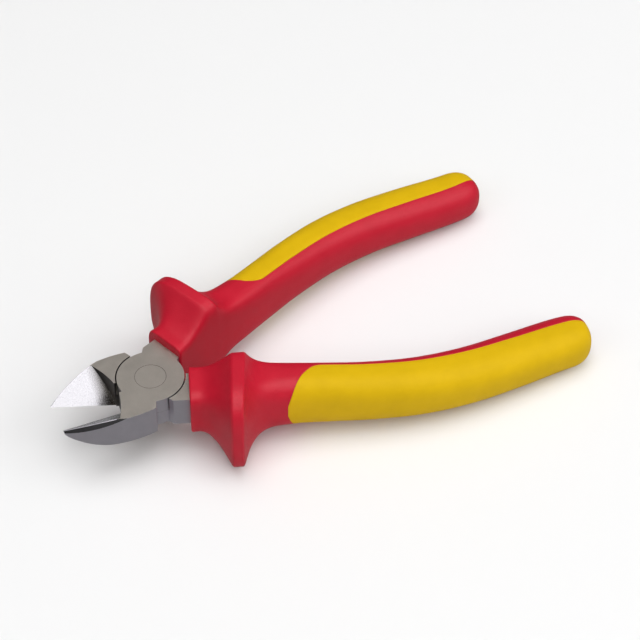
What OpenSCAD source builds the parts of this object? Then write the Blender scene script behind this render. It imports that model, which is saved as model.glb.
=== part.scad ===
// Insulated diagonal cutting pliers, 160 mm class.
// Two forged halves lapped on one rivet, each handle with a rigid insulating sleeve
// and a soft grip bonded into the sleeve's outer side.
// Each half is drawn closed, pointing along X, and is then swung open by half the opening.
// The upper half (its lap is the upper layer of the joint) has its handle on +Y.

/* [Joint] */
// Thickness of the joint and jaws across the ground faces
joint_t = 10; // [9:0.5:11]
// Diameter of each half's round lap
lap_d = 19.6; // [19:0.1:20]
// Gap between a lap's rim and the shoulder around it
shoulder_gap = 0.4; // [0.2:0.05:0.5]
// Gap between the two laps
lap_gap = 0.05; // [0.02:0.01:0.1]
// Angle between the halves as drawn
opening = 19; // [12:0.5:30]

/* [Rivet] */
// Diameter of the rivet's flush heads
head_d = 9.2; // [8.5:0.1:10]
// Thickness of each rivet head
head_t = 1.6; // [1.2:0.1:2.2]
// Diameter of the rivet's shank
shank_d = 7; // [6:0.1:7.5]
// Radial clearance of the rivet in the half that turns on it
running_gap = 0.05; // [0.02:0.01:0.1]

/* [Jaws] */
// Pivot to the tip of the jaws
jaw_length = 29.4; // [28:0.1:31]
// Pivot to the inner end of the cutting edge
edge_start = 10.6; // [10.4:0.1:11.5]
// Half width of the closed jaws at the joint
jaw_half_w = 11.2; // [11:0.1:12]
// Radius of the jaw's outer side seen from above
jaw_side_r = 35.2; // [33:0.1:38]
// Height of the cutting edge at the tip above the mid-plane
edge_tip_z = 0.4; // [0:0.1:1]
// Fall of the cutting edge from tip to inner end, in degrees
edge_fall = 13.75; // [10:0.25:16]
// Slope of the bevel above the cutting edge, in degrees
bevel_slope = 41.8; // [38:0.2:46]
// Lean of the relief face under the cutting edge, in degrees
relief_lean = 46; // [40:1:50]
// Radius of the wall at the inner end of the bevel
bevel_wall_r = 30; // [25:1:40]
// Radius of the facet round the outer top of the nose
nose_r = 48; // [46:1:56]
// Lean of that facet from upright, in degrees
nose_lean = 27; // [22:1:32]
// Radius of the belly under the nose
belly_r = 20.4; // [19:0.1:24]

/* [Handles] */
// Pivot to the end of the handles
handle_end = 129.7; // [128:0.1:134]
// Length of the rounded end of a handle
end_round = 7; // [5:0.5:9]
// Rise of the guard above the handle's top and bottom
guard_rise = 6.6; // [5:0.1:7]
// Reach of the guard beyond the handle's outer side
guard_reach = 11.7; // [9:0.1:13]
// Front of the guard's crest
crest_front = 20; // [19.5:0.1:20.5]
// Length of the guard's crest along the handle
crest_length = 3.6; // [3.2:0.1:4]

/* [Grip] */
// Front of the soft grip on the handle's outer side
grip_front = 36.9; // [35:0.1:38]
// Length over which the grip's front corners widen
grip_corner = 10.6; // [9:0.1:14]
// Half angle of the grip as seen from the section's centre, 50 mm from the pivot
seam_angle = 116.8; // [105:0.2:118]
// Narrowing of that angle along the handle, in degrees per mm
seam_turn = 0.166; // [0.1:0.002:0.2]
// Thickness of the soft grip
grip_t = 2.4; // [1.5:0.1:3]

/* [Hidden] */
$fn = 96;

half_t = joint_t / 2;
lap_r = lap_d / 2;
shoulder_r = lap_r + shoulder_gap;
head_r = head_d / 2;
shank_r = shank_d / 2;
overcut = 1;

// The tang stays full thickness this far into the sleeve
mouth_x = 9.6;
tang_end = 17;
tang_inner_y = [1.8, 4.2];
tang_outer_y = [11.8, 13.0];
// The core of the handle behind the tang
core_end = 118;
core_half_t = 4;
core_half_w = [3.8, 2.8];
core_stations = [17.1, 25, 33, 41, 50, 60, 70, 80, 90, 100, 110, core_end];

// Handle stations: [x, inner y, outer y, half height, inner roundness, outer roundness, slant].
// Roundness 2 is an ellipse and larger values are boxier. Slant is the lean of the section in plan.
stations = [
    [  9.6,  0.9, 14.7, 8.1, 8.0, 4.6, 0.20],
    [ 20.0,  4.2, 16.5, 8.6, 8.0, 2.9, 0.25],
    [ 30.0,  5.8, 18.4, 9.3, 6.0, 2.9, 0.29],
    [ 40.0,  7.2, 20.2, 9.1, 4.0, 2.6, 0.12],
    [ 50.0,  9.0, 22.4, 8.9, 3.2, 2.7, 0.04],
    [ 60.0, 10.7, 25.0, 8.6, 2.8, 2.6, 0.00],
    [ 75.0, 12.4, 27.4, 8.2, 2.6, 2.6, 0.00],
    [ 90.0, 12.0, 27.5, 7.8, 2.5, 2.6, 0.00],
    [105.0,  9.9, 25.6, 7.4, 2.5, 2.6, 0.00],
    [120.0,  7.8, 22.8, 7.1, 2.5, 2.6, 0.00],
    [131.0,  7.9, 21.0, 7.3, 2.5, 2.6, 0.00]];
last = len(stations) - 1;
INNER = 1;
OUTER = 2;
HEIGHT = 3;
INNER_ROUND = 4;
OUTER_ROUND = 5;
SLANT = 6;

// Ramp in front of the guard and fall behind it
guard_front = 12.1;
guard_rear = 36;
crest_rear = crest_front + crest_length;
// Power of the ramp's curve and of the fall's curve
ramp_power = 2;
fall_power = 3;
// Small half angle at which the grip's front starts, how full its corners are, and its wall's lean
corner_angle = 12;
corner_fullness = 0.9;
wall_angle = 1.5;
// Part of the section that stays flat on the handle's end, and the power of the rounding
end_flat = 0.4;
end_power = 2.4;
// Points of one section: the grip's share and the whole ring
grip_points = 15;
ring_points = 40;
step = 0.1;
lip = 0.5;

// Places of the sections along the handle
front_places = [mouth_x + lip, 10.8, 12, 13.5, 15, 16.5, 17.8, 18.9, crest_front - step, crest_front + step,
                crest_front + crest_length / 2, crest_rear - step, crest_rear + step,
                24.5, 25.2, 26, 27, 28.4, 30, 32, 34, grip_front];
grip_places = [for (g = [step, 0.3, 0.7, 1.3, 2.2, 3.4, 4.8, 6.4, 8, 9.6, 11.5, 15, 20]) grip_front + g];
first_middle = grip_front + 20;
middle_places = [for (g = [1 : 11]) first_middle + g * (handle_end - end_round - first_middle) / 11];
end_places = [for (g = [14, 28, 42, 55, 67, 78, 90]) handle_end - end_round * (1 - sin(g))];
rear_places = concat(grip_places, middle_places, end_places);

// Slope of a column of the station list at one station
function tangent(i, k) = let (a = max(i - 1, 0), b = min(i + 1, last))
    (stations[b][k] - stations[a][k]) / (stations[b][0] - stations[a][0]);

// Smooth value of a column between stations i and i + 1
function between(x, i, k) = let (
    w = stations[i + 1][0] - stations[i][0],
    t = (x - stations[i][0]) / w,
    a = stations[i][k],
    b = stations[i + 1][k])
    a * (1 + 2 * t) * (1 - t) * (1 - t) + b * t * t * (3 - 2 * t)
    + w * t * (1 - t) * ((1 - t) * tangent(i, k) - t * tangent(i + 1, k));

function column(x, k, i = 0) =
    i == last - 1 || x <= stations[i + 1][0] ? between(x, i, k) : column(x, k, i + 1);

function clamp01(v) = min(max(v, 0), 1);

// Rise of the guard from 0 on the handle to 1 on the crest
function guard(x) = x < crest_front
    ? pow(clamp01((x - guard_front) / (crest_front - guard_front)), ramp_power)
    : pow(1 - clamp01((x - crest_rear) / (guard_rear - crest_rear)), fall_power);

// Shrinking of the section on the rounded end
function shrink(x) = let (t = clamp01((x - handle_end + end_round) / end_round))
    end_flat + (1 - end_flat) * sqrt(max(0, 1 - pow(t, end_power)));

// Half angle of the grip at x, as the section's own angle
function half_angle(x) = let (
    t = clamp01((x - grip_front) / grip_corner),
    seam = seam_angle - seam_turn * (x - 50),
    seen = corner_angle + (seam - corner_angle) * pow(1 - pow(1 - t, 2), corner_fullness),
    n = column(x, cos(seen) > 0 ? OUTER_ROUND : INNER_ROUND))
    atan2(pow(sin(seen), n / 2), signed_pow(cos(seen), n / 2));

function signed_pow(v, p) = sign(v) * pow(abs(v), p);

// Point of the handle's surface at x and angle a, sunk inwards by depth
function skin(x, a, depth) = let (
    in_y = column(x, INNER),
    out_y = column(x, OUTER) + guard_reach * guard(x),
    mid_y = (in_y + out_y) / 2,
    s = shrink(x),
    half_w = (out_y - in_y) / 2 * s - depth,
    half_h = (column(x, HEIGHT) + guard_rise * guard(x)) * s - depth,
    n = column(x, cos(a) > 0 ? OUTER_ROUND : INNER_ROUND),
    y = half_w * signed_pow(cos(a), 2 / n),
    z = half_h * signed_pow(sin(a), 2 / n),
    end_start = handle_end - end_round,
    sunk_x = x < end_start ? x : end_start + (x - end_start) * (end_round - depth) / end_round)
    [sunk_x - column(x, SLANT) * y, mid_y + y, z];

// Angle of ring point k: the grip's share first, then the rest of the ring
function ring_angle(x, k) = let (h = half_angle(x), rest = ring_points - grip_points)
    k < grip_points
    ? (h - wall_angle) * (2 * k / (grip_points - 1) - 1)
    : h + (360 - 2 * h) * (k - grip_points) / (rest - 1);

// One ring of the sleeve, with the grip's share sunk by depth
function sleeve_ring(x, depth) = [for (k = [0 : ring_points - 1])
    skin(x, ring_angle(x, k), k < grip_points ? depth : 0)];

// Sides of the steel inside the sleeve, at its own station x
function mid(x) = (column(x, INNER) + column(x, OUTER)) / 2;
function along_tang(x) = (x - mouth_x) / (tang_end - mouth_x);
function along_core(x) = (x - tang_end) / (core_end - tang_end);
function mix(pair, t) = pair[0] + (pair[1] - pair[0]) * t;
function steel_y(x, side) = x <= tang_end
    ? mix(side > 0 ? tang_outer_y : tang_inner_y, along_tang(x))
    : mid(x) + side * mix(core_half_w, along_core(x));
function steel_xy(x, side) = let (y = steel_y(x, side)) [x - column(x, SLANT) * (y - mid(x)), y];

// Place of ring point k on the hollow's outline, from 0 to 4 counted in its sides, so that both
// rings run round side by side
function outline_place(k) = let (
    p = skin(mouth_x, ring_angle(mouth_x, k), lip),
    o = steel_y(mouth_x, 1),
    i = steel_y(mouth_x, -1),
    across = (p[1] - (o + i) / 2) / ((o - i) / 2),
    up = p[2] / half_t,
    reach = max(abs(across), abs(up)))
    abs(across) >= abs(up)
    ? (across > 0 ? (1 + up / reach) / 2 : 2 + (1 - up / reach) / 2)
    : (up > 0 ? 1 + (1 - across / reach) / 2 : 3 + (1 + across / reach) / 2);
places = [for (k = [0 : ring_points - 1]) outline_place(k)];

// The ring point nearest to each corner moves onto it
function gap(place, corner) = let (d = abs(place - corner)) min(d, 4 - d);
function nearest(corner) = let (
    gaps = [for (p = places) gap(p, corner)],
    low = min(gaps))
    [for (k = [0 : ring_points - 1]) if (gaps[k] == low) k][0];
corner_points = [for (corner = [0 : 3]) nearest(corner)];
function snapped(k) = let (hits = [for (corner = [0 : 3]) if (corner_points[corner] == k) corner])
    len(hits) > 0 ? hits[0] : places[k];

// One ring of the sleeve's inner hollow, a rectangle of as many points as the sleeve's ring
function hollow_ring(x) = let (
    h = x <= tang_end ? half_t : core_half_t,
    o = steel_xy(x, 1),
    i = steel_xy(x, -1),
    corners = [[o[0], o[1], -h], [o[0], o[1], h], [i[0], i[1], h], [i[0], i[1], -h]])
    [for (k = [0 : ring_points - 1]) let (
        q = floor(snapped(k)),
        t = snapped(k) - q)
        corners[q] * (1 - t) + corners[(q + 1) % 4] * t];

// Quads between rings of n points, as pairs of triangles
function wrap(rings, n) = [for (r = [0 : rings - 2]) for (k = [0 : n - 1]) let (
    a = r * n + k,
    b = r * n + (k + 1) % n)
    each [[a, b, b + n], [a, b + n, a + n]]];

function run(from, to) = [for (k = [from : to]) k];
function reversed(v) = [for (k = [len(v) - 1 : -1 : 0]) v[k]];

module sleeve_body() {
    hollow_places = concat(reversed(core_stations), [tang_end, (tang_end + mouth_x) / 2, mouth_x]);
    hollow = [for (x = hollow_places) hollow_ring(x)];
    mouth = [for (k = [0 : ring_points - 1]) let (a = ring_angle(mouth_x, k)) skin(mouth_x, a, lip)];
    front = [for (x = front_places) sleeve_ring(x, 0)];
    rear = [for (x = rear_places) sleeve_ring(x, grip_t)];
    rings = concat(hollow, [mouth], front, rear);
    n = ring_points;
    base = (len(rings) - 1) * n;
    bottom = len(rings) * n;
    // The hollow's flat bottom is a fan around its centre
    polyhedron(
        points = concat([for (r = rings) each r],
                        [(hollow[0][corner_points[0]] + hollow[0][corner_points[2]]) / 2]),
        faces = concat(
            [for (k = [0 : n - 1]) [bottom, (k + 1) % n, k]],
            wrap(len(rings), n),
            [run(base, base + grip_points - 1),
             run(base + grip_points, base + n - 1),
             [base + grip_points - 1, base + grip_points, base + n - 1, base]]),
        convexity = 8);
}

module grip_body() {
    g = grip_points;
    n = 2 * g;
    // The outer arc runs one way and the inner arc back
    rings = [for (x = rear_places) let (h = half_angle(x)) concat(
        [for (k = [0 : g - 1]) skin(x, h * (2 * k / (g - 1) - 1), 0)],
        [for (k = [g - 1 : -1 : 0]) skin(x, (h - wall_angle) * (2 * k / (g - 1) - 1), grip_t)])];
    base = (len(rings) - 1) * n;
    polyhedron(
        points = [for (r = rings) each r],
        faces = concat(
            [for (k = [0 : g - 2]) [k + 1, k, n - 1 - k, n - 2 - k]],
            wrap(len(rings), n),
            [run(base, base + g - 1),
             run(base + g, base + n - 1),
             [base + g - 1, base + g, base + n - 1, base]]),
        convexity = 8);
}

// A slab of the joint's full thickness with this outline
module slab(outline, half_height = half_t) {
    translate([0, 0, -half_height]) linear_extrude(2 * half_height) polygon(outline);
}

// Jaw blank: the outer side is one round sweep from nose to heel
module jaw_blank() {
    seat = 0.2;
    heel = [[-7.7, -15], [-3.9, -9.5]];
    intersection() {
        slab([[-jaw_length, 0], [-jaw_length, -15], heel[0], heel[1], [0, -seat],
              [-edge_start - 0.05, -seat], [-edge_start - 0.05, 0]]);
        translate([-4.5, jaw_side_r - jaw_half_w, -half_t - overcut])
            cylinder(r = jaw_side_r, h = joint_t + 2 * overcut, $fn = 180);
    }
}

// Puts its children in the frame of the cutting edge: X along the edge from the tip
module at_edge(lean) {
    translate([-jaw_length, 0, edge_tip_z]) rotate([0, edge_fall, 0]) rotate([-lean, 0, 0]) children();
}

// Tall cylinder of radius r whose side passes through both points, centred on their left
module round_side(from, to, r) {
    chord = to - from;
    reach = sqrt(r * r - chord * chord / 4);
    centre = (from + to) / 2 + reach * [-chord[1], chord[0]] / norm(chord);
    translate([centre[0], centre[1], -30]) cylinder(r = r, h = 60, $fn = 180);
}

// Metal taken away above the cutting edge, as far as the round wall at its inner end
module bevel_cut() {
    intersection() {
        round_side([-15.4, -8.6], [-edge_start, 0], bevel_wall_r);
        at_edge(bevel_slope) translate([-10, -20, 0]) cube([45, 40, 20]);
    }
}

// Everything inside the leaning facet round the outer top of the nose
module nose_block() {
    at_edge(nose_lean) round_side([-0.1, -0.33], [12.35, -11.55], nose_r);
}

// Metal taken away under the cutting edge
module relief_cut() {
    at_edge(relief_lean) translate([-10, 0, -15]) cube([29.6, 8, 15]);
}

// Metal taken away under the nose
module belly_cut() {
    belly_x = -17;
    difference() {
        translate([belly_x - 15, -16, -half_t - overcut]) cube([15, 18, half_t + overcut + 2]);
        translate([belly_x, -20, belly_r - half_t]) rotate([-90, 0, 0]) cylinder(r = belly_r, h = 25, $fn = 180);
    }
}

module jaw() {
    difference() {
        intersection() {
            jaw_blank();
            nose_block();
        }
        bevel_cut();
        relief_cut();
        belly_cut();
    }
}

module tang() {
    slab([[0, 0], [2.8, 9.2], [4.2, 10.9], steel_xy(mouth_x, 1), steel_xy(tang_end, 1),
          steel_xy(tang_end, -1), steel_xy(mouth_x, -1), [9.6, 1.3]]);
}

module core() {
    outline = concat([for (x = core_stations) steel_xy(x, 1)],
                     [for (x = reversed(core_stations)) steel_xy(x, -1)]);
    slab(concat([steel_xy(tang_end - 2, 1) - [0, 1]], outline, [steel_xy(tang_end - 2, -1) + [0, 1]]),
         core_half_t);
}

// One forging: layer 1 has its lap on top, layer -1 underneath
module forging(layer) {
    lap_z = lap_gap / 2;
    difference() {
        union() {
            jaw();
            tang();
            core();
            translate([0, 0, layer > 0 ? 0 : -half_t]) cylinder(r = lap_r, h = half_t);
        }
        // Room for the other half's lap
        translate([0, 0, layer > 0 ? -half_t - overcut : -lap_z])
            cylinder(r = shoulder_r, h = half_t + overcut + lap_z);
        rivet_hole(layer);
    }
}

// Stepped hole for the rivet: tight in the upper half, running in the lower one
module rivet_hole(layer) {
    gap = layer > 0 ? 0 : running_gap;
    seat_z = half_t - head_t - gap;
    translate([0, 0, -joint_t]) cylinder(r = shank_r + gap, h = 2 * joint_t);
    translate([0, 0, layer > 0 ? seat_z : -joint_t]) cylinder(r = head_r + gap, h = joint_t - seat_z);
}

module rivet() {
    translate([0, 0, -half_t]) cylinder(r = head_r, h = head_t);
    translate([0, 0, -half_t]) cylinder(r = shank_r, h = joint_t);
    translate([0, 0, half_t - head_t]) cylinder(r = head_r, h = head_t);
}

// Final places. The joint's lower ground face is at Z = 0.
module place_upper() {
    translate([0, 0, half_t]) rotate([0, 0, opening / 2]) children();
}

module place_lower() {
    translate([0, 0, half_t]) rotate([0, 0, -opening / 2]) mirror([0, 1, 0]) children();
}

module upper_lap_forging() { color("#8a8379") place_upper() forging(1); }
module lower_lap_forging() { color("#8a8379") place_lower() forging(-1); }
module pivot_rivet() { color("#968f84") place_upper() rivet(); }
module upper_insulating_sleeve() { color("#c21f37") place_upper() sleeve_body(); }
module lower_insulating_sleeve() { color("#c21f37") place_lower() sleeve_body(); }
module upper_soft_grip() { color("#e0ba0f") place_upper() grip_body(); }
module lower_soft_grip() { color("#e0ba0f") place_lower() grip_body(); }

upper_lap_forging();
lower_lap_forging();
pivot_rivet();
upper_insulating_sleeve();
lower_insulating_sleeve();
upper_soft_grip();
lower_soft_grip();
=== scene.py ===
"""Looks of the insulated diagonal cutting pliers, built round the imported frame."""

from math import atan2, cos, radians, sin

import bmesh
import bpy
import numpy as np
from mathutils import Matrix, Vector


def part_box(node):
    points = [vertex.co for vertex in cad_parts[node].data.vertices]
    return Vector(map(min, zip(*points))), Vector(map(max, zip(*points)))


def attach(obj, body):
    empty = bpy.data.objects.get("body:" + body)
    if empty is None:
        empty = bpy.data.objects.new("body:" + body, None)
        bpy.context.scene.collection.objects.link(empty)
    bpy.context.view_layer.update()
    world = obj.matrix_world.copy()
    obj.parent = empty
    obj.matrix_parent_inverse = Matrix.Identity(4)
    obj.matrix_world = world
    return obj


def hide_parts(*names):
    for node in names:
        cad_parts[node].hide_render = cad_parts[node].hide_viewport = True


MM = 0.001

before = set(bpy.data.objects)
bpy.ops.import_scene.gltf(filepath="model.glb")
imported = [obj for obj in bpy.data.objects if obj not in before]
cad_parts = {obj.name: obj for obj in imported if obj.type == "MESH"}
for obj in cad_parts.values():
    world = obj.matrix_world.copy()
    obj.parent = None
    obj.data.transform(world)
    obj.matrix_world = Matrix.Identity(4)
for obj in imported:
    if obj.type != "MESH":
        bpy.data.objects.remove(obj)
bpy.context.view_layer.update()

# Driving dimensions in millimetres, the same as the CAD model's
JOINT_T = 10.0
HALF_T = JOINT_T / 2
OPENING = 19.0
EDGE_FALL = 13.75
BEVEL_SLOPE = 41.8

HANDLE_END = 129.7
END_HALF_HEIGHT = 7.2
END_ROUND = 7.0
END_FLAT = 0.4
END_POWER = 2.4
GUARD_RISE = 6.6
GUARD_REACH = 11.7
GUARD_FRONT = 12.1
GUARD_REAR = 36.0
RAMP_POWER = 2
FALL_POWER = 3
CREST_FRONT = 20.0
CREST_REAR = 23.6
CREST_ROUND = 0.5
CREST_SAMPLES = 9

MOUTH_X = 9.6
LIP = 0.5
TANG_END = 17.0
TANG_INNER_Y = (1.8, 4.2)
TANG_OUTER_Y = (11.8, 13.0)
CORE_END = 118.0
CORE_HALF_T = 4.0
CORE_HALF_W = (3.8, 2.8)

GRIP_FRONT = 36.9
GRIP_CORNER = 10.6
SEAM_ANGLE = 116.8
SEAM_ANGLE_X = 50
SEAM_TURN = 0.166
CORNER_ANGLE = 12.0
CORNER_FULLNESS = 0.9
WALL_ANGLE = 1.5
GRIP_T = 2.4
SEAM_DEPTH = 0.16
SEAM_WIDTH = 0.2
SEAM_HALF_ARC = 18.0

# How far the skin lies inside the CAD surface, so that finer facets never stand proud of it
SINK = 0.05

# Handle stations: x, inner y, outer y, half height, inner roundness, outer roundness, slant.
# Open failure: most of these numbers are a fit's rounded results, not designed values.
STATIONS = np.array([
    (9.6, 0.9, 14.7, 8.1, 8.0, 4.6, 0.20),
    (20.0, 4.2, 16.5, 8.6, 8.0, 2.9, 0.25),
    (30.0, 5.8, 18.4, 9.3, 6.0, 2.9, 0.29),
    (40.0, 7.2, 20.2, 9.1, 4.0, 2.6, 0.12),
    (50.0, 9.0, 22.4, 8.9, 3.2, 2.7, 0.04),
    (60.0, 10.7, 25.0, 8.6, 2.8, 2.6, 0.00),
    (75.0, 12.4, 27.4, 8.2, 2.6, 2.6, 0.00),
    (90.0, 12.0, 27.5, 7.8, 2.5, 2.6, 0.00),
    (105.0, 9.9, 25.6, 7.4, 2.5, 2.6, 0.00),
    (120.0, 7.8, 22.8, 7.1, 2.5, 2.6, 0.00),
    (131.0, 7.9, 21.0, 7.3, 2.5, 2.6, 0.00),
])
INNER, OUTER, HEIGHT, INNER_ROUND, OUTER_ROUND, SLANT = range(1, 7)

# Points across the grip and round the rest of a section, and their spacing along the handle
GRIP_POINTS = 72
REST_POINTS = 104
RING_POINTS = GRIP_POINTS + REST_POINTS
FINE_STEP = 0.3
COARSE_STEP = 1.2

# Rings along the sleeve's hollow, the grip's front corner and the rounded end, and turns of the lip
CORE_RINGS = 40
CORNER_RINGS = 46
END_RINGS = 20
LIP_TURNS = (0, 22, 45, 68, 90)

# How far the grip's first ring lies behind its front, and the core's last ring behind the tang
FRONT_GAP = 0.02
CORE_GAP = 0.1

# Closely spaced points beside the seam, as shares of the half arc, and where the even ones begin
EDGE_SHARES = (0, 0.004, 0.008, 0.013, 0.02)
EVEN_SHARE = 0.96

# Edges that turn by more degrees than this are shaded sharp
SHARP_SKIN = 35
SHARP_STEEL = 30


# --- The handle's surface -----------------------------------------------------------------

def column(x, k):
    """Smooth value of a station column at the places x."""
    xs, vs = STATIONS[:, 0], STATIONS[:, k]
    slopes = np.empty_like(vs)
    slopes[1:-1] = (vs[2:] - vs[:-2]) / (xs[2:] - xs[:-2])
    slopes[0] = (vs[1] - vs[0]) / (xs[1] - xs[0])
    slopes[-1] = (vs[-1] - vs[-2]) / (xs[-1] - xs[-2])
    i = np.clip(np.searchsorted(xs, x) - 1, 0, len(xs) - 2)
    w = xs[i + 1] - xs[i]
    t = (x - xs[i]) / w
    return (vs[i] * (1 + 2 * t) * (1 - t) ** 2 + vs[i + 1] * t * t * (3 - 2 * t)
            + w * t * (1 - t) * ((1 - t) * slopes[i] - t * slopes[i + 1]))


def guard(x):
    """Rise of the guard from 0 on the handle to 1 on the crest, with the crest's corners rounded."""
    total = 0
    offsets = np.linspace(-CREST_ROUND, CREST_ROUND, CREST_SAMPLES)
    for offset in offsets:
        p = x + offset
        rising = np.clip((p - GUARD_FRONT) / (CREST_FRONT - GUARD_FRONT), 0, 1) ** RAMP_POWER
        falling = (1 - np.clip((p - CREST_REAR) / (GUARD_REAR - CREST_REAR), 0, 1)) ** FALL_POWER
        total = total + np.where(p < CREST_FRONT, rising, falling)
    return total / len(offsets)


def shrink(x):
    """Size of the section, from 1 on the handle down to the flat of its rounded end."""
    t = np.clip((x - HANDLE_END + END_ROUND) / END_ROUND, 0, 1)
    return END_FLAT + (1 - END_FLAT) * np.sqrt(np.maximum(0, 1 - t ** END_POWER))


def signed_power(v, p):
    """Power of the size of v, with the sign of v."""
    return np.sign(v) * np.abs(v) ** p


def half_angle(x):
    """Half angle of the section that the grip covers, as the section's own angle."""
    t = np.clip((x - GRIP_FRONT) / GRIP_CORNER, 0, 1)
    seam = SEAM_ANGLE - SEAM_TURN * (x - SEAM_ANGLE_X)
    opened = (1 - (1 - t) ** 2) ** CORNER_FULLNESS
    seen = np.radians(CORNER_ANGLE + (seam - CORNER_ANGLE) * opened)
    n = np.where(np.cos(seen) > 0, column(x, OUTER_ROUND), column(x, INNER_ROUND))
    return np.degrees(np.arctan2(np.sin(seen) ** (n / 2), signed_power(np.cos(seen), n / 2)))


def skin(x, angle, depth):
    """Points of the surface at places x and angles in degrees, sunk inwards by depth."""
    x, angle, depth = np.broadcast_arrays(x, angle, depth)
    a = np.radians(angle)
    in_y = column(x, INNER)
    out_y = column(x, OUTER) + GUARD_REACH * guard(x)
    mid_y = (in_y + out_y) / 2
    s = shrink(x)
    half_w = (out_y - in_y) / 2 * s - depth
    half_h = (column(x, HEIGHT) + GUARD_RISE * guard(x)) * s - depth
    n = np.where(np.cos(a) > 0, column(x, OUTER_ROUND), column(x, INNER_ROUND))
    y = half_w * signed_power(np.cos(a), 2 / n)
    z = half_h * signed_power(np.sin(a), 2 / n)
    end_start = HANDLE_END - END_ROUND
    sunk = end_start + (x - end_start) * (END_ROUND - depth) / END_ROUND
    along = np.where(x < end_start, x, sunk)
    return np.stack([along - column(x, SLANT) * y, mid_y + y, z], axis=-1)


# --- Steel inside the sleeve --------------------------------------------------------------

def mid(x):
    """Middle of the plain handle in y, without the guard."""
    return (column(x, INNER) + column(x, OUTER)) / 2


def mix(pair, t):
    """Value at t of the way from the first of a pair to the second."""
    return pair[0] + (pair[1] - pair[0]) * t


def steel_xy(x, side):
    """Outer (side 1) or inner (side -1) edge of the steel in the sleeve, seen from above."""
    x = np.asarray(x, float)
    tang = mix(TANG_OUTER_Y if side > 0 else TANG_INNER_Y, (x - MOUTH_X) / (TANG_END - MOUTH_X))
    core = mid(x) + side * mix(CORE_HALF_W, (x - TANG_END) / (CORE_END - TANG_END))
    y = np.where(x <= TANG_END, tang, core)
    return np.stack([x - column(x, SLANT) * (y - mid(x)), y], axis=-1)


def outline_places(ring):
    """Where each ring point lies on the hollow's outline, from 0 to 4 counted in its sides."""
    outer, inner = steel_xy(MOUTH_X, 1)[1], steel_xy(MOUTH_X, -1)[1]
    across = (ring[:, 1] - (outer + inner) / 2) / ((outer - inner) / 2)
    up = ring[:, 2] / HALF_T
    reach = np.maximum(np.abs(across), np.abs(up))
    on_side = np.abs(across) >= np.abs(up)
    across, up = across / reach, up / reach
    side = np.where(across > 0, (1 + up) / 2, 2 + (1 - up) / 2)
    level = np.where(up > 0, 1 + (1 - across) / 2, 3 + (1 + across) / 2)
    places = np.where(on_side, side, level)
    for corner in range(4):
        away = np.abs(places - corner)
        places[np.argmin(np.minimum(away, 4 - away))] = corner
    return places % 4


def hollow_ring(x, places):
    """One ring of the sleeve's hollow: a rectangle whose points face the sleeve's own."""
    h = HALF_T if x <= TANG_END else CORE_HALF_T
    outer, inner = steel_xy(x, 1), steel_xy(x, -1)
    corners = np.array([(*outer, -h), (*outer, h), (*inner, h), (*inner, -h)])
    side = places.astype(int)
    share = (places - side)[:, None]
    return corners[side] * (1 - share) + corners[(side + 1) % 4] * share


# --- Mesh helpers -------------------------------------------------------------------------

def place(points, upper):
    """Millimetre points of a closed half to metres in the row frame."""
    p = np.array(points, float)
    turn = radians(OPENING / 2)
    if not upper:
        p[:, 1] *= -1
        turn = -turn
    x, y, z = p.T
    turned = [x * cos(turn) - y * sin(turn), x * sin(turn) + y * cos(turn), z + HALF_T]
    return np.stack(turned, axis=-1) * MM


def to_half(v, upper, is_place=True):
    """A row-frame vector back in the axes of its closed half."""
    p = Matrix.Rotation(radians(-OPENING / 2 if upper else OPENING / 2), 3, "Z") @ v
    if is_place:
        p = p / MM - Vector((0, 0, HALF_T))
    return Vector((p.x, p.y if upper else -p.y, p.z))


def wrap(count, n):
    """Quads between count rings of n points."""
    faces = []
    for r in range(count - 1):
        for k in range(n):
            a, b = r * n + k, r * n + (k + 1) % n
            faces.append((a, b, b + n, a + n))
    return faces


def end_caps(count, n, split):
    """Faces that close the last of count rings of n points: two parts and a quad between them."""
    base = (count - 1) * n
    middle = base + split
    end = base + n
    return [tuple(range(base, middle)), tuple(range(middle, end)), (middle - 1, middle, end - 1, base)]


def make_piece(name, rings, caps, upper):
    """Object in the scene from rings of points in a closed half, and the faces that close them."""
    points = np.concatenate(rings)
    faces = wrap(len(rings), len(rings[0])) + caps
    mesh = bpy.data.meshes.new(name)
    mesh.from_pydata(place(points, upper).tolist(), [], faces)
    bm = bmesh.new()
    bm.from_mesh(mesh)
    bmesh.ops.recalc_face_normals(bm, faces=bm.faces)
    finish_shading(bm, SHARP_SKIN)
    bm.to_mesh(mesh)
    bm.free()
    piece = bpy.data.objects.new(name, mesh)
    bpy.context.scene.collection.objects.link(piece)
    return piece


def finish_shading(bm, sharp):
    """Smooth shading with hard edges where faces turn by more than sharp degrees."""
    for face in bm.faces:
        face.smooth = True
    for edge in bm.edges:
        edge.smooth = edge.calc_face_angle(0) < radians(sharp)


def weigh_normals(piece):
    """Large flat faces keep their own normal, so that only the rounded edges look round."""
    modifier = piece.modifiers.new("normals", "WEIGHTED_NORMAL")
    modifier.mode = "FACE_AREA"
    modifier.weight = 100
    modifier.keep_sharp = True


def spaced(start, stop, step):
    """Even places from start to stop, about a step apart."""
    return np.linspace(start, stop, max(2, int(round((stop - start) / step)) + 1))


def rear_places():
    """Places along the grip: dense at its front corner and on the rounded end."""
    shares = np.linspace(0, 1, CORNER_RINGS) ** 2
    front = GRIP_FRONT + FRONT_GAP + (GRIP_CORNER - FRONT_GAP) * shares
    middle = spaced(front[-1], HANDLE_END - END_ROUND, COARSE_STEP)[1:-1]
    turns = np.radians(np.linspace(0, 90, END_RINGS))
    end = HANDLE_END - END_ROUND * (1 - np.sin(turns))
    return np.concatenate([front, middle, end])


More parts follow.
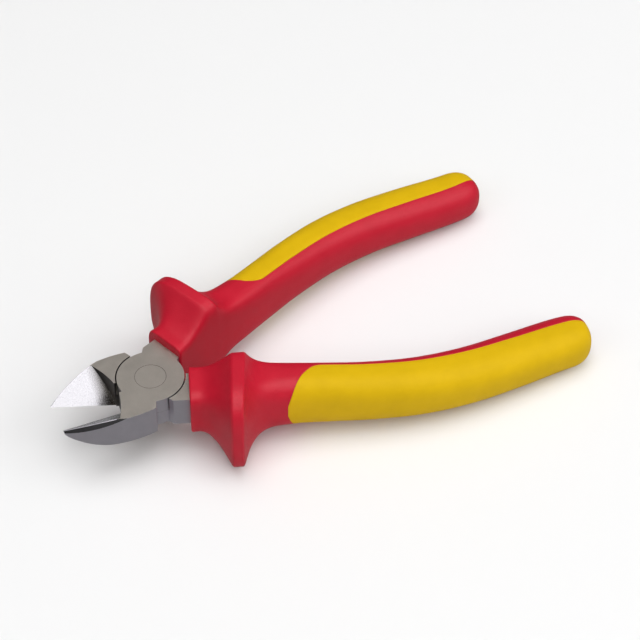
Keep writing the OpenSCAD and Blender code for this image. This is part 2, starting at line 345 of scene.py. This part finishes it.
def edge_dip(fraction, half_arc):
    """Depth of the small groove along the seam, for points at this fraction of the half arc."""
    away = half_arc * (1 - np.abs(fraction))
    return SINK + SEAM_DEPTH * np.clip(1 - away / SEAM_WIDTH, 0, 1) ** 2


def dense_ends(n):
    """Values from -1 to 1, closely spaced at both ends so that the seam's groove is drawn."""
    edge = 1 - np.array(EDGE_SHARES)
    inside = np.linspace(-EVEN_SHARE, EVEN_SHARE, n - 2 * len(edge))
    return np.concatenate([-edge, inside, edge[::-1]])


# --- Sleeve and grip ----------------------------------------------------------------------

def ring_angles(x):
    """Angles round one of the sleeve's rings: the grip's share first, then the rest of the section."""
    half = float(half_angle(np.array(x)))
    across = (half - WALL_ANGLE) * np.linspace(-1, 1, GRIP_POINTS)
    rest = 180 + (180 - half) * dense_ends(REST_POINTS)
    return np.concatenate([across, rest])


def plain_ring(x, depth):
    """Ring of the sleeve that is sunk by the same depth all round."""
    return skin(np.full(RING_POINTS, x), ring_angles(x), depth)


def seated_ring(x):
    """Ring of the sleeve that is sunk under the grip, with the seam's groove beside it."""
    under = np.full(GRIP_POINTS, GRIP_T)
    groove = edge_dip(dense_ends(REST_POINTS), SEAM_HALF_ARC)
    return skin(np.full(RING_POINTS, x), ring_angles(x), np.concatenate([under, groove]))


def make_sleeve(name, upper):
    """Sleeve from its hollow's far end, out through the mouth and back along its outside."""
    core_places = np.linspace(CORE_END, TANG_END + CORE_GAP, CORE_RINGS)
    hollow_places = np.concatenate([core_places, [TANG_END, (TANG_END + MOUTH_X) / 2, MOUTH_X]])
    places = outline_places(plain_ring(MOUTH_X, SINK + LIP))
    rings = [hollow_ring(float(x), places) for x in hollow_places]
    for turn in np.radians(LIP_TURNS):
        x = MOUTH_X + LIP * (1 - cos(turn))
        rings.append(plain_ring(x, SINK + LIP * (1 - sin(turn))))
    for x in spaced(MOUTH_X + LIP, GRIP_FRONT, FINE_STEP)[1:]:
        rings.append(plain_ring(x, SINK))
    for x in rear_places():
        rings.append(seated_ring(x))
    caps = [tuple(range(RING_POINTS))] + end_caps(len(rings), RING_POINTS, GRIP_POINTS)
    return make_piece(name, rings, caps, upper)


def make_grip(name, upper):
    """Grip as a curved shell: each ring runs along its outside and back along its inside."""
    f = dense_ends(GRIP_POINTS)
    n = 2 * GRIP_POINTS
    rings = []
    for x in rear_places():
        h = float(half_angle(np.array(x)))
        outer = skin(np.full(GRIP_POINTS, x), h * f, edge_dip(f, SEAM_HALF_ARC * h / SEAM_ANGLE))
        inner = skin(np.full(GRIP_POINTS, x), (h - WALL_ANGLE) * f[::-1], GRIP_T)
        rings.append(np.concatenate([outer, inner]))
    front = [(k + 1, k, n - 1 - k, n - 2 - k) for k in range(GRIP_POINTS - 1)]
    return make_piece(name, rings, front + end_caps(len(rings), n, GRIP_POINTS), upper)


# --- Steel --------------------------------------------------------------------------------

GROUND, FORGED, POLISHED, NOSE, PAINTED_SHADE = range(5)

# Radii of the gaps round the rivet's heads and round the lap, and the span of the bevel's
# end wall along X. Faces there get painted shade: near-black steel standing in for their shade
RIVET_GAP = 4.8
LAP_GAP = (9.9, 10.5)
BEVEL_WALL = (-17.0, -8.0)

# The leaning facet on the nose: where it ends, how much it faces up, and the rounding of its ridge
NOSE_END = -12.0
NOSE_RISE = (0.12, 0.75)
RIDGE_ROUND = 0.45

# Where the bevel's bright steel starts to fade into painted shade and where the shade is full, along X
BRIGHT_UNTIL = -16.0
SHADED_FROM = -11.5

# How closely a face's normal follows the bevel's, how far it points up or down on a level face,
# and how far it points to -X on the bevel's end wall
BEVEL_MATCH = 0.995
LEVEL_MATCH = 0.98
WALL_MATCH = -0.5

# Weld distance of the CAD facets in metres, and the angles in degrees up to which faces count as one
# flat face and from which an edge is rounded
WELD_DISTANCE = 2e-6
FLAT_ANGLE = 0.6
HARD_ANGLE = 18

# Rounding of the edges of the forgings and of the rivet, steps of a rounding and its fullness
FORGING_ROUND = 0.12
RIVET_ROUND = 0.1
RIDGE_STEPS = 4
EDGE_STEPS = 2
ROUND_PROFILE = 0.6


def bevel_normal():
    """Direction that the cutting bevel faces, in the axes of a closed half."""
    across = Vector((0, sin(radians(BEVEL_SLOPE)), cos(radians(BEVEL_SLOPE))))
    across.rotate(Matrix.Rotation(radians(EDGE_FALL), 3, "Y"))
    return across


def finish_of(face, upper):
    """Which steel finish a face has, from where it is and where it faces, or painted shade for gaps and
    the bevel's end wall.
    """
    n = to_half(face.normal, upper, is_place=False)
    at = to_half(face.calc_center_median(), upper)
    if n.dot(bevel_normal()) > BEVEL_MATCH:
        return POLISHED
    if at.x < NOSE_END and NOSE_RISE[0] < n.z < NOSE_RISE[1]:
        return NOSE
    if abs(n.z) > LEVEL_MATCH:
        return GROUND
    from_axis = at.xy.length
    faces_axis = n.xy.dot(at.xy) < 0
    # Faces in the gaps and on the bevel's end wall are given painted shade instead of a finish
    is_gap = from_axis < RIVET_GAP or faces_axis and LAP_GAP[0] < from_axis < LAP_GAP[1]
    is_wall = BEVEL_WALL[0] < at.x < BEVEL_WALL[1] and n.x < WALL_MATCH and n.y > 0
    return PAINTED_SHADE if is_gap or is_wall else FORGED


def is_ridge(edge, upper):
    """True for the edge where the bevel meets the nose's outer side."""
    finishes = [finish_of(face, upper) for face in edge.link_faces]
    return POLISHED in finishes and NOSE in finishes


def round_edges(bm, edges, size, segments):
    """Edges rounded by a size in millimetres, in so many segments."""
    bmesh.ops.bevel(bm, geom=edges, offset=size * MM, segments=segments, profile=ROUND_PROFILE,
                    affect="EDGES", clamp_overlap=True)


def make_steel(name, node, upper, round_edge):
    """A steel CAD piece with its flat faces made whole, its edges rounded and its finishes sorted."""
    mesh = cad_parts[node].data.copy()
    mesh.materials.clear()
    bm = bmesh.new()
    bm.from_mesh(mesh)
    bmesh.ops.remove_doubles(bm, verts=bm.verts, dist=WELD_DISTANCE)
    bmesh.ops.dissolve_limit(bm, angle_limit=radians(FLAT_ANGLE), verts=bm.verts, edges=bm.edges)
    bm.normal_update()
    round_edges(bm, [e for e in bm.edges if is_ridge(e, upper)], RIDGE_ROUND, RIDGE_STEPS)
    bm.normal_update()
    hard = [e for e in bm.edges if e.is_manifold and e.calc_face_angle(0) > radians(HARD_ANGLE)]
    round_edges(bm, hard, round_edge, EDGE_STEPS)
    finish_shading(bm, SHARP_STEEL)
    bm.normal_update()
    for face in bm.faces:
        face.material_index = finish_of(face, upper)
    bm.to_mesh(mesh)
    bm.free()
    piece = bpy.data.objects.new(name, mesh)
    bpy.context.scene.collection.objects.link(piece)
    weigh_normals(piece)
    return piece


# --- Materials ----------------------------------------------------------------------------

# Noise values between which a tone or a roughness goes from its first value to its second
NOISE_LOW = 0.3
NOISE_HIGH = 0.7
BLOTCH_SHARE = 0.55


class Shader:
    """Short helper that adds nodes to one material."""

    def __init__(self, name):
        self.material = bpy.data.materials.new(name)
        self.material.use_nodes = True
        self.tree = self.material.node_tree
        self.bsdf = self.tree.nodes["Principled BSDF"]
        self.coords = self.tree.nodes.new("ShaderNodeTexCoord").outputs["Object"]

    def set(self, **values):
        """Constants set directly on the shader's sockets."""
        for key, value in values.items():
            self.bsdf.inputs[key.replace("_", " ")].default_value = value

    def node(self, kind, **settings):
        """New node of a kind, with its settings."""
        made = self.tree.nodes.new(kind)
        for key, value in settings.items():
            setattr(made, key, value)
        return made

    def link(self, a, b):
        self.tree.links.new(a, b)

    def scaled(self, scale):
        """The object's own coordinates, scaled along each axis."""
        mapping = self.node("ShaderNodeMapping")
        mapping.inputs["Scale"].default_value = scale
        self.link(self.coords, mapping.inputs["Vector"])
        return mapping.outputs["Vector"]

    def noise(self, vector, scale, detail, roughness=0.6):
        """Noise value at a vector."""
        made = self.node("ShaderNodeTexNoise")
        made.inputs["Scale"].default_value = scale
        made.inputs["Detail"].default_value = detail
        made.inputs["Roughness"].default_value = roughness
        self.link(vector, made.inputs["Vector"])
        return made.outputs["Fac"]

    def ramp(self, value, stops):
        """Colour that runs through the stops as the value rises."""
        made = self.node("ShaderNodeValToRGB")
        elements = made.color_ramp.elements
        while len(elements) < len(stops):
            elements.new(0.5)
        for element, (at, colour) in zip(elements, stops):
            element.position = at
            element.color = (*colour, 1)
        self.link(value, made.inputs["Fac"])
        return made.outputs["Color"]

    def span(self, value, low, high, from_low, from_high):
        """Value between low and high, as the given one goes from from_low to from_high."""
        made = self.node("ShaderNodeMapRange")
        made.inputs["From Min"].default_value = from_low
        made.inputs["From Max"].default_value = from_high
        made.inputs["To Min"].default_value = low
        made.inputs["To Max"].default_value = high
        self.link(value, made.inputs["Value"])
        return made.outputs["Result"]

    def bump(self, height, distance, strength=1.0):
        """Normal that follows a height as small relief."""
        made = self.node("ShaderNodeBump")
        made.inputs["Strength"].default_value = strength
        made.inputs["Distance"].default_value = distance
        self.link(height, made.inputs["Height"])
        return made.outputs["Normal"]


def grey_steel(name, low, high, roughness, streak, bump_height):
    """Steel with fine marks and faint blotches: a smaller streak stretches the marks further along Y."""
    s = Shader(name)
    s.set(Metallic=1.0)
    marks = s.noise(s.scaled((1, streak, 1)), scale=9000, detail=2)
    blotch = s.noise(s.coords, scale=350, detail=4)
    mixed = s.node("ShaderNodeMix", data_type="FLOAT")
    mixed.inputs["Factor"].default_value = BLOTCH_SHARE
    s.link(marks, mixed.inputs["A"])
    s.link(blotch, mixed.inputs["B"])
    colour = s.ramp(mixed.outputs["Result"], [(NOISE_LOW, low), (NOISE_HIGH, high)])
    s.link(colour, s.bsdf.inputs["Base Color"])
    s.link(s.span(mixed.outputs["Result"], *roughness, NOISE_LOW, NOISE_HIGH), s.bsdf.inputs["Roughness"])
    s.link(s.bump(marks, bump_height), s.bsdf.inputs["Normal"])
    return s.material


def bevel_steel_and_shade():
    """Ground cutting bevel: bright at the tip, and fading into painted shade towards the joint."""
    s = Shader("bevel_steel_and_shade")
    s.set(Metallic=1.0)
    grain = s.noise(s.coords, scale=3600, detail=4, roughness=0.75)
    split = s.node("ShaderNodeSeparateXYZ")
    s.link(s.coords, split.inputs["Vector"])
    shade_share = s.span(split.outputs["X"], 0, 1, BRIGHT_UNTIL * MM, SHADED_FROM * MM)
    bright = s.ramp(grain, [(0.35, (0.38, 0.37, 0.39)), (0.65, (0.54, 0.53, 0.56))])
    # Painted shade: near-black steel that darkens the bevel towards the joint
    dark = s.ramp(grain, [(NOISE_LOW, (0.07, 0.064, 0.056)), (NOISE_HIGH, (0.15, 0.138, 0.122))])
    mixed = s.node("ShaderNodeMix", data_type="RGBA")
    s.link(shade_share, mixed.inputs["Factor"])
    s.link(bright, mixed.inputs["A"])
    s.link(dark, mixed.inputs["B"])
    s.link(mixed.outputs["Result"], s.bsdf.inputs["Base Color"])
    s.link(s.span(grain, 0.20, 0.32, NOISE_LOW, NOISE_HIGH), s.bsdf.inputs["Roughness"])
    s.link(s.bump(grain, distance=0.000010), s.bsdf.inputs["Normal"])
    return s.material


def red_insulation():
    """Satin red plastic with a fine grain."""
    s = Shader("red_insulation")
    s.set(Specular_IOR_Level=0.3)
    grain = s.noise(s.coords, scale=2400, detail=3, roughness=0.7)
    tone = s.noise(s.coords, scale=160, detail=3)
    colour = s.ramp(tone, [(NOISE_LOW, (0.46, 0.004, 0.020)), (NOISE_HIGH, (0.50, 0.006, 0.024))])
    s.link(colour, s.bsdf.inputs["Base Color"])
    s.link(s.span(grain, 0.34, 0.52, NOISE_LOW, NOISE_HIGH), s.bsdf.inputs["Roughness"])
    s.link(s.bump(grain, distance=0.00010, strength=0.8), s.bsdf.inputs["Normal"])
    return s.material


def yellow_grip():
    """Matt yellow rubber with a soft grain."""
    s = Shader("yellow_grip")
    s.set(Specular_IOR_Level=0.12)
    grain = s.noise(s.coords, scale=1900, detail=4, roughness=0.6)
    tone = s.noise(s.coords, scale=120, detail=3)
    colour = s.ramp(tone, [(NOISE_LOW, (0.58, 0.365, 0.001)), (NOISE_HIGH, (0.635, 0.40, 0.002))])
    s.link(colour, s.bsdf.inputs["Base Color"])
    s.link(s.span(grain, 0.52, 0.66, NOISE_LOW, NOISE_HIGH), s.bsdf.inputs["Roughness"])
    s.link(s.bump(grain, distance=0.00007, strength=0.5), s.bsdf.inputs["Normal"])
    return s.material


# --- Stage --------------------------------------------------------------------------------

# Camera: turn, height and roll in degrees, distance, width seen at that distance, and how far the
# pivot lies left of and below the middle of the picture, in metres
VIEW_TURN = 26.4
VIEW_HEIGHT = 46.0
VIEW_ROLL = -1.0
VIEW_DISTANCE = 0.600
VIEW_WIDTH = 0.1856
PIVOT_LEFT = 0.04896
PIVOT_DOWN = 0.01974
SENSOR_WIDTH = 36
CLIP_START = 0.05

# Floor: half width, grey, gap under the guards, and where along X the guards and the handle ends rest
FLOOR_HALF = 4.0
FLOOR_GREY = 0.80
FLOOR_GAP = 0.0002
GUARD_AT = 0.022
REST_SPAN = 0.103

# Backdrop wall: radius, height, sides and brightness
WALL_R = 1.8
WALL_H = 2.0
WALL_SIDES = 96
WALL_GLOW = 0.65

# Every light stands this far from the middle of the tool
LIGHT_DISTANCE = 2.4
TOOL_MIDDLE = (0.04, 0, 0)

# Lights: turn to the right of the camera's heading and height in degrees, size in metres, power in watts
LIGHTS = {
    "overhead": (0, 88, 2.0, 32),
    "front": (0, 50, 1.4, 14.4),
    "right_front": (60, 40, 2.0, 18.4),
    "right": (90, 45, 1.4, 8.8),
    "left_front": (-50, 40, 1.4, 5.6),
}

# Sky brightness from straight down (0) through the horizon (0.5) to straight up (1)
SKY = [(0.0, 0.30), (0.40, 0.30), (0.47, 0.05), (0.56, 0.05), (0.85, 0.24), (1.0, 0.28)]


def add_camera():
    """Camera that sees the pivot left of and below the middle of the picture."""
    e = radians(VIEW_HEIGHT)
    roll = radians(VIEW_ROLL)
    right = Vector((1, 0, 0))
    up = Vector((0, sin(e), cos(e)))
    turn = Matrix.Rotation(radians(-VIEW_TURN), 3, "Z")
    rolled_right = turn @ (cos(roll) * right - sin(roll) * up)
    rolled_up = turn @ (sin(roll) * right + cos(roll) * up)
    back = turn @ Vector((0, -cos(e), sin(e)))
    data = bpy.data.cameras.new("camera")
    data.sensor_width = SENSOR_WIDTH
    data.lens = data.sensor_width * VIEW_DISTANCE / VIEW_WIDTH
    data.clip_start = CLIP_START
    camera = bpy.data.objects.new("camera", data)
    axes = Matrix((rolled_right, rolled_up, back)).transposed().to_4x4()
    pivot = Vector((0, 0, HALF_T * MM))
    axes.translation = pivot + PIVOT_LEFT * rolled_right + PIVOT_DOWN * rolled_up + VIEW_DISTANCE * back
    camera.matrix_world = axes
    bpy.context.scene.collection.objects.link(camera)
    bpy.context.scene.camera = camera


def add_floor():
    """Pale floor under the guards and the handle ends, where the tool really rests."""
    guard_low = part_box("upper_insulating_sleeve")[0].z
    end_low = (HALF_T - END_HALF_HEIGHT) * MM
    lean = atan2(end_low - guard_low, REST_SPAN)
    mesh = bpy.data.meshes.new("floor")
    r = FLOOR_HALF
    mesh.from_pydata([(-r, -r, 0), (r, -r, 0), (r, r, 0), (-r, r, 0)], [], [(0, 1, 2, 3)])
    floor = bpy.data.objects.new("floor", mesh)
    floor.rotation_euler = (0, -lean, 0)
    floor.location = (GUARD_AT, 0, guard_low - FLOOR_GAP)
    bpy.context.scene.collection.objects.link(floor)
    s = Shader("floor")
    s.set(Base_Color=(FLOOR_GREY, FLOOR_GREY, FLOOR_GREY, 1), Roughness=0.9, Specular_IOR_Level=0.1)
    mesh.materials.append(s.material)
    floor.visible_glossy = False


def add_backdrop():
    """Pale round wall behind the floor. Only the camera sees it, so it changes no light on the tool."""
    turns = np.radians(np.arange(0, 360, 360 / WALL_SIDES))
    low = [(WALL_R * cos(t), WALL_R * sin(t), -WALL_H) for t in turns]
    high = [(x, y, WALL_H) for x, y, _ in low]
    mesh = bpy.data.meshes.new("backdrop")
    mesh.from_pydata(low + high, [], wrap(2, WALL_SIDES))
    wall = bpy.data.objects.new("backdrop", mesh)
    bpy.context.scene.collection.objects.link(wall)
    s = Shader("backdrop")
    s.set(Base_Color=(0, 0, 0, 1), Specular_IOR_Level=0.0)
    s.set(Emission_Color=(1, 1, 1, 1), Emission_Strength=WALL_GLOW)
    mesh.materials.append(s.material)
    wall.visible_diffuse = False
    wall.visible_glossy = False
    wall.visible_shadow = False


def add_light(name, turn, height, size, power):
    """Soft round light that faces the middle of the tool."""
    a, e = radians(turn - VIEW_TURN), radians(height)
    towards = Vector((sin(a) * cos(e), -cos(a) * cos(e), sin(e)))
    data = bpy.data.lights.new(name, "AREA")
    data.shape = "DISK"
    data.size = size
    data.energy = power
    light = bpy.data.objects.new(name, data)
    light.location = Vector(TOOL_MIDDLE) + towards * LIGHT_DISTANCE
    light.rotation_mode = "QUATERNION"
    light.rotation_quaternion = towards.to_track_quat("Z", "Y")
    bpy.context.scene.collection.objects.link(light)


def add_world():
    """Sky that is dark at the horizon and brighter overhead, with an even glow from below."""
    world = bpy.data.worlds.new("studio")
    world.use_nodes = True
    tree = world.node_tree
    place = tree.nodes.new("ShaderNodeTexCoord")
    split = tree.nodes.new("ShaderNodeSeparateXYZ")
    height = tree.nodes.new("ShaderNodeMapRange")
    height.inputs["From Min"].default_value = -1
    glow = tree.nodes.new("ShaderNodeValToRGB")
    tree.links.new(place.outputs["Generated"], split.inputs["Vector"])
    tree.links.new(split.outputs["Z"], height.inputs["Value"])
    tree.links.new(height.outputs["Result"], glow.inputs["Fac"])
    tree.links.new(glow.outputs["Color"], tree.nodes["Background"].inputs["Color"])
    tree.nodes["Background"].inputs["Strength"].default_value = 1
    stops = glow.color_ramp.elements
    while len(stops) < len(SKY):
        stops.new(0.5)
    for stop, (at, grey) in zip(stops, SKY):
        stop.position = at
        stop.color = (grey, grey, grey, 1)
    bpy.context.scene.world = world


# --- The object ---------------------------------------------------------------------------

add_camera()
add_floor()
add_backdrop()
for light_name, light_values in LIGHTS.items():
    add_light(light_name, *light_values)
add_world()
bpy.context.scene.view_settings.view_transform = "Standard"

red = red_insulation()
yellow = yellow_grip()
ground = grey_steel("ground_steel", low=(0.42, 0.385, 0.345), high=(0.50, 0.46, 0.415),
                    roughness=(0.42, 0.55), streak=0.06, bump_height=0.000004)
forged = grey_steel("forged_steel", low=(0.56, 0.535, 0.585), high=(0.64, 0.61, 0.665),
                    roughness=(0.38, 0.48), streak=0.5, bump_height=0.000004)
polished_and_shade = bevel_steel_and_shade()
nose = grey_steel("nose_steel", low=(0.42, 0.41, 0.43), high=(0.50, 0.49, 0.51),
                  roughness=(0.14, 0.22), streak=0.5, bump_height=0.000002)
# Painted shade: near-black steel for the gaps round the rivet and the lap and for the bevel's end wall
dark = grey_steel("painted_shade_steel", low=(0.07, 0.064, 0.060), high=(0.13, 0.12, 0.112),
                  roughness=(0.35, 0.5), streak=0.5, bump_height=0.000003)
# In the order of the finishes: ground, forged, polished, nose and last the painted shade
steels = (ground, forged, polished_and_shade, nose, dark)

for side, upper in (("upper", True), ("lower", False)):
    body = side + "_half"

    steel = make_steel(side + "_forging_steel", side + "_lap_forging", upper, FORGING_ROUND)
    for material in steels:
        steel.data.materials.append(material)
    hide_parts(side + "_lap_forging")
    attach(steel, body)

    sleeve = make_sleeve(side + "_sleeve", upper)
    sleeve.data.materials.append(red)
    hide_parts(side + "_insulating_sleeve")
    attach(sleeve, body)

    grip = make_grip(side + "_grip", upper)
    grip.data.materials.append(yellow)
    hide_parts(side + "_soft_grip")
    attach(grip, body)

rivet = make_steel("pivot_rivet_steel", "pivot_rivet", True, RIVET_ROUND)
for material in steels:
    rivet.data.materials.append(material)
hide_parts("pivot_rivet")
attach(rivet, "upper_half")
